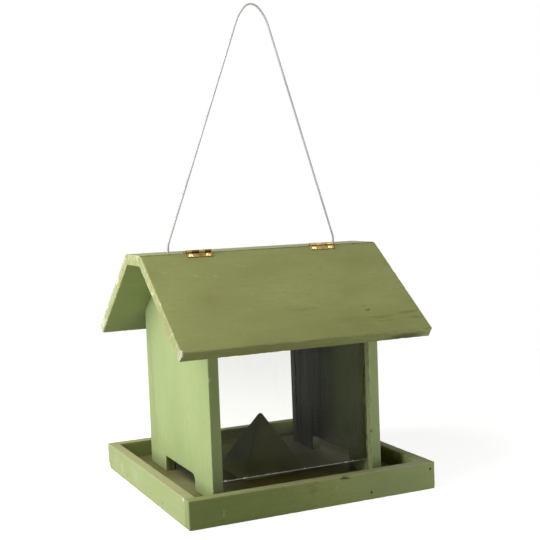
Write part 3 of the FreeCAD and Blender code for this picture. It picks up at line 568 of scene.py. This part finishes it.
screw_tree, given = fixing_tree("countersunk_screw", "Head Radius", "Head Depth", "Shank Radius",
                                "Shank Length", "Cross Span", "Cross Width", "Cross Depth")
cone = add_node(screw_tree, "GeometryNodeMeshCone",
                {"Vertices": 28, "Radius Top": given["Head Radius"], "Radius Bottom": given["Shank Radius"],
                 "Depth": given["Head Depth"]})
drop = add_node(screw_tree, "ShaderNodeMath", {0: given["Head Depth"], 1: -1.0}, operation="MULTIPLY")
down = add_node(screw_tree, "ShaderNodeCombineXYZ", {2: drop})
seated = add_node(screw_tree, "GeometryNodeTransform", {"Geometry": cone, "Translation": down})
head = cross_recess(screw_tree, given, seated, 0.0)
set_out(screw_tree, given, with_shank(screw_tree, given, head, 16, drop), 2)
FLOOR_SCREW = {"Head Radius": 3.5 * MM, "Head Depth": 2.2 * MM, "Shank Radius": 1.75 * MM,
               "Shank Length": 25 * MM, "Cross Span": 4.2 * MM, "Cross Width": 0.9 * MM,
               "Cross Depth": 1.3 * MM}
screw_finish = zinc_plate("bright_zinc_plate", "#B9B8AE", "#7E7D74", 2 * MM, 0.35)
WALL_MIDDLE = board_place("end_wall_right")[0].x
SCREW_FROM_MIDDLE = 62 * MM
# The heads lie this far inside the floor's underside
SCREW_SEAT = 0.02 * MM
wall_screws = []
for end in (-1, 1):
    for side in (-1, 1):
        seat = Vector((end * WALL_MIDDLE, side * SCREW_FROM_MIDDLE, SCREW_SEAT))
        wall_screws.append((seat, (0, 0, -1), 1.0))
put(fix("wall_screw_heads", screw_tree, FLOOR_SCREW, screw_finish, wall_screws), "house", "screw_steel",
    "wall_screws")
pyramid_screw = [(Vector((0, 0, SCREW_SEAT)), (0, 0, -1), 1.0)]
put(fix("pyramid_screw_head", screw_tree, FLOOR_SCREW, screw_finish, pyramid_screw), "house", "screw_steel",
    "deflector_screw")

# Windows. Cast acrylic sheets, sawn to size and slid into the grooves. Handling has left a thin film of
# dust on them, wiped up and down, and the saw has chipped the foot of the front one white.
ACRYLIC_IOR = 1.49
# Thicker dust, low at the right of the front sheet: its middle from the sheet's low corner, and its reach
SMEAR_PLACE = Vector((118 * MM, 0, 4 * MM))
SMEAR_REACH = (72 * MM, 30 * MM, 34 * MM)
FOOT_HEIGHT = 45 * MM


def cast_acrylic(name, low, edge_glint, smeared):
    """Clear sheet: sharp see-through under a faint dust film, and white glints where the saw chipped it. The
    wiped lines and the grit of the film are drawn coarser than they are, to show."""
    material, tree, where = new_material(name)
    bent = add_node(tree, "ShaderNodeBsdfRefraction", {"Color": "#FBFBFA", "Roughness": 0.0,
                                                       "IOR": ACRYLIC_IOR})
    mirror = add_node(tree, "ShaderNodeBsdfGlossy", {"Color": "#FFFFFF", "Roughness": 0.03})
    slant = add_node(tree, "ShaderNodeFresnel", {"IOR": ACRYLIC_IOR})
    faint = add_node(tree, "ShaderNodeMath", {0: slant, 1: 0.1}, operation="MULTIPLY")
    sheet = add_node(tree, "ShaderNodeMixShader", {0: faint, 1: bent, 2: mirror})

    # Film, thicker towards the foot and in the smear
    place = add_node(tree, "ShaderNodeSeparateXYZ", {0: where}, out=None)
    above = add_node(tree, "ShaderNodeMath", {0: place[2], 1: low.z}, operation="SUBTRACT")
    foot = add_node(tree, "ShaderNodeMapRange", {0: above, 1: 0.0, 2: FOOT_HEIGHT, 3: 0.03, 4: 0.012})
    wiped = streaked(tree, where, (1.6 * MM, 40 * MM, 45 * MM), 3.0)
    film = add_node(tree, "ShaderNodeMapRange", {0: wiped, 1: 0.35, 2: 0.7, 3: 0.002, 4: foot})
    smear = add_node(tree, "ShaderNodeMapping", {"Vector": where, "Location": low + SMEAR_PLACE,
                                                 "Scale": SMEAR_REACH}, vector_type="TEXTURE")
    off_smear = add_node(tree, "ShaderNodeVectorMath", {0: smear}, out="Value", operation="LENGTH")
    thick = add_node(tree, "ShaderNodeMapRange", {0: off_smear, 1: 1.0, 2: 0.2, 3: 0.0, 4: smeared},
                     interpolation_type="SMOOTHSTEP")
    grit = streaked(tree, where, (1.3 * MM, 1.3 * MM, 2.6 * MM), 5.0)
    speck = add_node(tree, "ShaderNodeMapRange", {0: grit, 1: 0.4, 2: 0.72, 3: 0.3, 4: 1.5})
    film = add_node(tree, "ShaderNodeMath", {0: speck, 1: thick, 2: film}, operation="MULTIPLY_ADD")
    dust = add_node(tree, "ShaderNodeBsdfDiffuse", {"Color": "#D6D3BE"})
    dusty = add_node(tree, "ShaderNodeMixShader", {0: film, 1: sheet, 2: dust})

    # Chips along the lower edge, of 2.5 mm
    sparkle = add_node(tree, "ShaderNodeTexNoise", {"Vector": where, "Scale": 1 / (2.5 * MM), "Detail": 3.0,
                                                    "Roughness": 0.7})
    band = add_node(tree, "ShaderNodeMapRange",
                    {0: sparkle, 1: 0.52, 2: 0.66, 3: 0.05 * edge_glint, 4: edge_glint})
    chipped = add_node(tree, "ShaderNodeMath", {0: above, 1: band}, operation="LESS_THAN")
    frosted = add_node(tree, "ShaderNodeBsdfGlossy", {"Color": "#FFFFFF", "Roughness": 0.45})
    surface = add_node(tree, "ShaderNodeMixShader", {0: chipped, 1: dusty, 2: frosted})
    add_node(tree, "ShaderNodeOutputMaterial", {"Surface": surface}, out=None)
    return material


for node, glint, smeared in (("window_front", 0.9 * MM, 0.09), ("window_rear", 0.0, 0.0)):
    dress(node, cast_acrylic(f"cast_acrylic_{node}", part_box(node)[0], glint, smeared))

# Ridge board. A flat board with bevelled long edges, nailed down on the end walls and drilled for the
# hanger. Its ends are rough from the saw.
ROOF_PITCH = math.radians(37.5)
ROOF_THICKNESS = 10 * MM
RIDGE_HALF = 22 * MM
MITRE = ROOF_THICKNESS * math.tan(ROOF_PITCH / 2)
SAWN = ("#B2B486", 1.0)
WIRE_HOLE_PLACE = 86.5 * MM
WIRE_HOLE_RADIUS = 1.75 * MM
centre, size = board_place("ridge_board")
size = Vector((size.x, 2 * RIDGE_HALF, ROOF_THICKNESS))


def bevel_ridge(point):
    """Draw the ridge board's sides in towards its underside."""
    depth = 0.5 - point.z / ROOF_THICKNESS
    return Vector((point.x, point.y * (1 - depth * MITRE / RIDGE_HALF), point.z))


ridge = worn_board("ridge_plank", centre, size, 0, 12.0, torn=0.5 * MM, dents=0.4 * MM, shear=bevel_ridge)
drill = bmesh.new()
for end in (-1, 1):
    place = Matrix.Translation((end * WIRE_HOLE_PLACE, 0, centre.z))
    bmesh.ops.create_cone(drill, cap_ends=True, segments=24, radius1=WIRE_HOLE_RADIUS,
                          radius2=WIRE_HOLE_RADIUS, depth=3 * ROOF_THICKNESS, matrix=place)
drill_mesh = bpy.data.meshes.new("wire_drill")
drill.to_mesh(drill_mesh)
drill.free()
drill_piece = stand("wire_drill", drill_mesh)
holes = ridge.modifiers.new("wire_holes", "BOOLEAN")
holes.operation = "DIFFERENCE"
holes.solver = "EXACT"
holes.object = drill_piece
apply_modifiers(ridge)
bpy.data.objects.remove(drill_piece)
ridge.data.materials.append(painted_pine("brushed_paint_on_ridge", centre, size, 0, 12.0,
                                         coats=("#868A56", "#9A9C6A"), rubbed=("#B4B68C", 0.4),
                                         dust=("#A0A07E", 0.5), sawn=SAWN))
put(ridge, "house", "painted_pine", "ridge_board")

# Rear slope. A wide board mitred to the ridge and nailed to the rear of both gables. The saw has torn
# splinters out of its left end.
ROOF_HALF_SPAN = 121 * MM
# The boards' eaves stop this much short, so that they stay inside the model's box
SHY = 0.01 * MM
MITRE_REACH = 14 * MM
RIDGE_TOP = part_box("ridge_board")[1].z


def slope_place(side, gap):
    """Centre and size of a sloping board in its own directions; side is 1 to the rear, -1 to the front."""
    length = (ROOF_HALF_SPAN - RIDGE_HALF) / math.cos(ROOF_PITCH) - gap - SHY
    down = Vector((0, side * math.cos(ROOF_PITCH), -math.sin(ROOF_PITCH)))
    inward = Vector((0, -side * math.sin(ROOF_PITCH), -math.cos(ROOF_PITCH)))
    upper = Vector((0, side * RIDGE_HALF, RIDGE_TOP))
    middle = upper + down * (gap + length / 2) + inward * ROOF_THICKNESS / 2
    return middle, Vector((2 * ROOF_HALF_SPAN, length, ROOF_THICKNESS))


def mitred(side, length):
    """Draws a sloping board's upper edge back towards its underside."""
    def shear(point):
        from_edge = length / 2 + side * point.y
        share = max(0.0, 1 - from_edge / MITRE_REACH)
        return point + Vector((0, side * MITRE * (0.5 - point.z / ROOF_THICKNESS) * share, 0))
    return shear


centre, size = slope_place(1, 0.0)
# Two splinters are gone from the upper arris of the left end
slope_knocks = (((-ROOF_HALF_SPAN, -21 * MM, ROOF_THICKNESS / 2), 5 * MM, 1.8 * MM),
                ((-ROOF_HALF_SPAN, 28 * MM, ROOF_THICKNESS / 2), 4 * MM, 1.2 * MM))
slope = worn_board("rear_slope_plank", centre, size, 0, 13.0, torn=1.1 * MM, dents=1.5 * MM,
                   turn=-ROOF_PITCH, knocks=slope_knocks, shear=mitred(1, size.y))
slope_marks = (((-121, 0, 5), (3, 95, 4.5), "#C6C8A4", 0.9),
               ((-121, 5, 3.6), (3, 70, 1.2), "#9C9E86", 0.6),
               ((-121, -21, 3), (3, 5, 4), "#DADBC2", 0.9),
               ((-121, 52, 2), (2.5, 12, 6), "#DCDCC8", 0.8))
slope.data.materials.append(painted_pine("brushed_paint_on_rear_slope", centre, size, 0, 13.0,
                                         turn=-ROOF_PITCH, coats=("#93A266", "#A7B479"), sawn=SAWN,
                                         marks=slope_marks))
put(slope, "house", "painted_pine", "roof_rear_board")

# Roof nails. Pairs of the same steel wire nails, driven through the ridge board and the rear slope into the
# end walls. The ridge's are still painted, and the slope's have lost the paint off their middles.
RIDGE_NAIL = 12 * MM
SLOPE_NAILS = (20 * MM, 56 * MM)
roof_nails = []
for end in (-1, 1):
    for side in (-1, 1):
        roof_nails.append((Vector((end * WALL_MIDDLE, side * RIDGE_NAIL, RIDGE_TOP)), (0, 0, 1), 0.2))
    for down in SLOPE_NAILS:
        seat = Vector((end * WALL_MIDDLE, RIDGE_HALF + down * math.cos(ROOF_PITCH),
                       RIDGE_TOP - down * math.sin(ROOF_PITCH)))
        roof_nails.append((seat, (0, math.sin(ROOF_PITCH), math.cos(ROOF_PITCH)), 0.7))
put(fix("roof_nail_heads", nail_tree, NAIL, nail_finish, roof_nails), "house", "nail_steel", "roof_nails")

# Lid. The front slope, loose from the ridge and swung on two hinges. It takes the most handling: light
# scratches, a small dark knot, stains at the eave, and a corner knocked bare at the left.
LID_GAP = 0.5 * MM
centre, size = slope_place(-1, LID_GAP)


def on_lid(across, down, deep=0.0):
    """Spot on the lid in millimetres from its middle, given from its middle line, the ridge and its top."""
    return across, (size.y / 2 + LID_GAP) / MM - down, ROOF_THICKNESS / 2 / MM - deep


SCRATCH = "#C3C796"
STAIN = "#6A6A3C"
lid_marks = (
    (on_lid(-102, 26), (8, 0.5, 2), SCRATCH, 0.5, (0, 0, -0.38)),
    (on_lid(-78.5, 31), (6, 0.5, 2), SCRATCH, 0.5, (0, 0, -0.55)),
    (on_lid(-60, 33.7), (3.2, 0.6, 2), "#D2D5A8", 0.5, (0, 0, -0.6)),
    (on_lid(-33, 21), (7, 0.5, 2), SCRATCH, 0.45, (0, 0, -0.4)),
    (on_lid(-59.4, 110), (0.6, 5, 2), SCRATCH, 0.4, (0, 0, 0.2)),
    (on_lid(67.7, 93.4), (3.2, 1.3, 2), "#3A3718", 1.0),
    (on_lid(76, 104), (15, 2.2, 2), STAIN, 0.42, (0, 0, 0.06)),
    (on_lid(82, 109), (11, 1.8, 2), STAIN, 0.38),
    (on_lid(108, 101), (13, 2.4, 2), STAIN, 0.42, (0, 0, 0.1)),
    (on_lid(112, 109), (9, 2.2, 2), STAIN, 0.42),
    (on_lid(44, 104), (14, 5, 2), STAIN, 0.2),
    (on_lid(8, 86), (13, 1.8, 2), STAIN, 0.3, (0, 0, 0.04)),
    (on_lid(0, 124.8, 7), (190, 2.2, 12), "#727A46", 0.4),
    (on_lid(95, 124.8, 7), (23, 5, 5.5), "#42432A", 0.75),
    (on_lid(-121, 82, 5), (2.5, 30, 6), "#969A68", 0.8),
    (on_lid(-121, 122.5, 3.5), (2.5, 4, 5), "#E0E0D4", 1.0),
)
lid_knocks = (((-ROOF_HALF_SPAN, -size.y / 2, 1.5 * MM), 6 * MM, 2.4 * MM),)
lid = worn_board("lid_plank", centre, size, 0, 14.0, torn=0.6 * MM, dents=0.6 * MM, turn=ROOF_PITCH,
                 knocks=lid_knocks, shear=mitred(-1, size.y))
lid.data.materials.append(painted_pine("brushed_paint_on_lid", centre, size, 0, 14.0, turn=ROOF_PITCH,
                                       coats=("#90945B", "#A3A76B"), streak=0.25, flecks=0.35, sawn=SAWN,
                                       marks=lid_marks))
put(lid, "lid", "painted_pine", "lid_board")

# Hinges. Small butt hinges of stamped and rolled sheet brass on a plain pin, screwed to the ridge and the
# lid. The lacquer has browned. The left one's ridge leaf and both pins are drawn in dark brass as painted
# shade, and the right one's ridge leaf in pale brass as a painted highlight.


def aged_brass(name, fresh, brown):
    """Warm metal: satin on the flats, with rolling lines drawn 0.4 mm wide to show, and browned in cloudy
    patches of 4 mm."""
    material, tree, where = new_material(name)
    patches = add_node(tree, "ShaderNodeTexNoise", {"Vector": where, "Scale": 1 / (4 * MM), "Detail": 4.0})
    stain = add_node(tree, "ShaderNodeMapRange", {0: patches, 1: 0.4, 2: 0.65})
    colour = add_node(tree, "ShaderNodeMix", {SHARE: stain, UNDER: fresh, OVER: brown}, **IN_COLOUR)
    rough = add_node(tree, "ShaderNodeMapRange", {0: patches, 1: 0.3, 2: 0.7, 3: 0.25, 4: 0.4})
    rolled = streaked(tree, where, (3 * MM, 0.4 * MM, 0.4 * MM), 4.0, 2.0)
    relief = add_node(tree, "ShaderNodeBump", {"Height": rolled, "Strength": 0.25, "Distance": 0.05 * MM})
    surface = add_node(tree, "ShaderNodeBsdfPrincipled",
                       {"Base Color": colour, "Metallic": 1.0, "Roughness": rough, "Normal": relief})
    add_node(tree, "ShaderNodeOutputMaterial", {"Surface": surface}, out=None)
    return material


lid_brass = {"left": aged_brass("browned_brass_left", "#B09A5A", "#887238"),
             "right": aged_brass("browned_brass_right", "#BCA468", "#8C7844")}
# Ridge leaves: the left one in brass of painted shade, the right one with a painted highlight
ridge_brass_lit_and_shaded = {"left": aged_brass("brass_in_painted_shade_left", "#765C26", "#3A2C12"),
               "right": aged_brass("brass_in_painted_highlight_right", "#D2C59C", "#A4925F")}
for end in ("left", "right"):
    dress(f"lid_leaf_{end}", lid_brass[end])
    dress(f"ridge_leaf_{end}", ridge_brass_lit_and_shaded[end])
    # The pins take the left ridge leaf's brass of painted shade
    dress(f"hinge_pin_{end}", ridge_brass_lit_and_shaded["left"])

# Hinge screws. Pan-head brass screws with a cross recess, two in each leaf, driven into the ridge board and
# the lid. Their heads are still bright.
leaf_tree, given = fixing_tree("pan_head_screw", "Head Radius", "Head Rise", "Shank Radius", "Shank Length",
                               "Cross Span", "Cross Width", "Cross Depth")
ball = add_node(leaf_tree, "GeometryNodeMeshUVSphere",
                {"Segments": 28, "Rings": 18, "Radius": given["Head Radius"]})
flat = add_node(leaf_tree, "ShaderNodeMath", {0: given["Head Rise"], 1: given["Head Radius"]},
                operation="DIVIDE")
squeeze = add_node(leaf_tree, "ShaderNodeCombineXYZ", {0: 1.0, 1: 1.0, 2: flat})
dome = add_node(leaf_tree, "GeometryNodeTransform", {"Geometry": ball, "Scale": squeeze})
smooth = add_node(leaf_tree, "GeometryNodeSetShadeSmooth", {"Geometry": dome})
head = cross_recess(leaf_tree, given, smooth, given["Head Rise"])
set_out(leaf_tree, given, with_shank(leaf_tree, given, head, 14), 5)
LEAF_SCREW = {"Head Radius": 2.2 * MM, "Head Rise": 1.3 * MM, "Shank Radius": 1.1 * MM,
              "Shank Length": 7 * MM, "Cross Span": 3.0 * MM, "Cross Width": 1.2 * MM,
              "Cross Depth": 1.0 * MM}
LEAF_THICKNESS = 0.6 * MM
SCREW_SPACING = 17 * MM
SCREW_REACH = 4.7 * MM
bright_brass = aged_brass("bright_brass", "#F4E4AE", "#D9BC78")
hinge_axis = Vector(next(joint["pos_m"] for joint in frame["joints"] if joint["name"] == "lid_hinge"))
# Height of the leaves' upper faces from the axis; the leaves lie on the boards, under the axis
leaf_top = LEAF_THICKNESS - (hinge_axis.z - RIDGE_TOP)
lid_up = Vector((0, -math.sin(ROOF_PITCH), math.cos(ROOF_PITCH)))
lid_down = Vector((0, -math.cos(ROOF_PITCH), -math.sin(ROOF_PITCH)))
ridge_screws = []
lid_screws = []
for end in ("left", "right"):
    low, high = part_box(f"lid_leaf_{end}")
    for side in (-1, 1):
        across = (low.x + high.x) / 2 + side * SCREW_SPACING / 2
        seat = Vector((across, hinge_axis.y + SCREW_REACH, hinge_axis.z + leaf_top))
        ridge_screws.append((seat, (0, 0, 1), 1.0))
        seat = Vector((across, hinge_axis.y, hinge_axis.z)) + lid_down * SCREW_REACH + lid_up * leaf_top
        lid_screws.append((seat, lid_up, 1.0))
put(fix("ridge_leaf_screw_heads", leaf_tree, LEAF_SCREW, bright_brass, ridge_screws), "house", "hinge_brass",
    "ridge_leaf_screws")
put(fix("lid_leaf_screw_heads", leaf_tree, LEAF_SCREW, bright_brass, lid_screws), "lid", "hinge_brass",
    "lid_leaf_screws")

# Hanger. One length of stiff galvanised wire, bent by hand to a round top. Its ends pass through the ridge
# board and are turned out under it.
dress("hanger_wire", zinc_plate("galvanised_wire", "#B2B2AF", "#A4A4A1", 30 * MM, 0.6))

# Studio. A pale floor under soft light from the left and above, and a white surround that the camera sees,
# also through glass and in metal.
FLOOR_SIDE = 12.0
FLOOR_DROP = 0.5 * MM
# The floor that the camera sees turns to plain white between these distances from the feeder's middle
FADE_FROM, FADE_TO = 0.25, 0.9
bpy.ops.mesh.primitive_plane_add(size=FLOOR_SIDE, location=(0, 0, -FLOOR_DROP))
floor = bpy.context.object
floor.name = "studio_floor"


def background_rays(tree):
    """1 for what the camera sees, also through glass or in metal, and 0 for light on the object."""
    path = add_node(tree, "ShaderNodeLightPath", out=None)
    seen = add_node(tree, "ShaderNodeMath", {0: path["Is Camera Ray"], 1: path["Is Glossy Ray"]},
                    operation="MAXIMUM")
    seen = add_node(tree, "ShaderNodeMath", {0: seen, 1: path["Is Transmission Ray"]}, operation="MAXIMUM")
    first = add_node(tree, "ShaderNodeMath", {0: path["Diffuse Depth"], 1: 0.5}, operation="LESS_THAN")
    return add_node(tree, "ShaderNodeMath", {0: seen, 1: first}, operation="MULTIPLY")


material, tree, where = new_material("pale_studio_floor")
away = add_node(tree, "ShaderNodeVectorMath", {0: where}, out="Value", operation="LENGTH")
fade = add_node(tree, "ShaderNodeMapRange", {0: away, 1: FADE_FROM, 2: FADE_TO, 3: 0.0, 4: 1.0},
                interpolation_type="SMOOTHSTEP")
pale = add_node(tree, "ShaderNodeBsdfDiffuse", {"Color": "#BEBEBC"})
glow = add_node(tree, "ShaderNodeEmission", {"Color": "#FFFFFF", "Strength": 0.86})
lit = add_node(tree, "ShaderNodeAddShader", {0: pale, 1: glow})
white = add_node(tree, "ShaderNodeEmission", {"Color": "#FFFFFF", "Strength": 1.0})
seen_floor = add_node(tree, "ShaderNodeMixShader", {0: fade, 1: lit, 2: white})
surface = add_node(tree, "ShaderNodeMixShader", {0: background_rays(tree), 1: pale, 2: seen_floor})
add_node(tree, "ShaderNodeOutputMaterial", {"Surface": surface}, out=None)
floor.data.materials.append(material)

world = bpy.data.worlds.new("studio")
world.use_nodes = True
tree = world.node_tree
tree.nodes.clear()
dim = add_node(tree, "ShaderNodeBackground", {"Color": "#FFFFFF", "Strength": 0.05})
white = add_node(tree, "ShaderNodeBackground", {"Color": "#FFFFFF", "Strength": 1.0})
surround = add_node(tree, "ShaderNodeMixShader", {0: background_rays(tree), 1: dim, 2: white})
add_node(tree, "ShaderNodeOutputWorld", {"Surface": surround}, out=None)
bpy.context.scene.world = world

# Name, place, width of the lamp in metres, power in watts
LAMPS = (("soft_from_the_left", (-1.6, -0.1, 0.5), 0.8, 17.0),
         ("key_from_above_left", (-0.65, -0.02, 0.9), 0.6, 9.0),
         ("fill_from_the_right", (0.42, -0.33, 0.05), 0.2, 1.25))
AIM = Vector((0, 0, 0.14))
for name, place, width, power in LAMPS:
    lamp = bpy.data.lights.new(name, "AREA")
    lamp.size = width
    lamp.energy = power
    holder = stand(name, lamp)
    holder.location = place
    holder.rotation_euler = (AIM - Vector(place)).to_track_quat("-Z", "Y").to_euler()
    holder.visible_camera = False

# Camera. It stands a metre off to the left of the front, a little above the ridge, and leans slightly. Its
# place, turn and focal length are the ones at which the feeder's corners fall as in the photograph.
CAMERA_PLACE = Vector((-400.97, -912.31, 273.99)) * MM
CAMERA_AZIMUTH = math.radians(-24.04)
CAMERA_ELEVATION = math.radians(4.11)
CAMERA_ROLL = math.radians(-2.177)
IMAGE_SIDE = 540
FOCAL_PIXELS = 1038.64
AXIS_LEFT_OF_MIDDLE = 9.95
camera = stand("camera", bpy.data.cameras.new("camera"))
camera.data.lens = FOCAL_PIXELS / IMAGE_SIDE * camera.data.sensor_width
camera.data.shift_x = AXIS_LEFT_OF_MIDDLE / IMAGE_SIDE
turn = Matrix.Rotation(CAMERA_AZIMUTH, 4, "Z") @ Matrix.Rotation(math.pi / 2 - CAMERA_ELEVATION, 4, "X")
camera.matrix_world = Matrix.Translation(CAMERA_PLACE) @ turn @ Matrix.Rotation(CAMERA_ROLL, 4, "Z")
camera.data.clip_start = 0.01
bpy.context.scene.camera = camera
bpy.context.scene.view_settings.view_transform = "Standard"
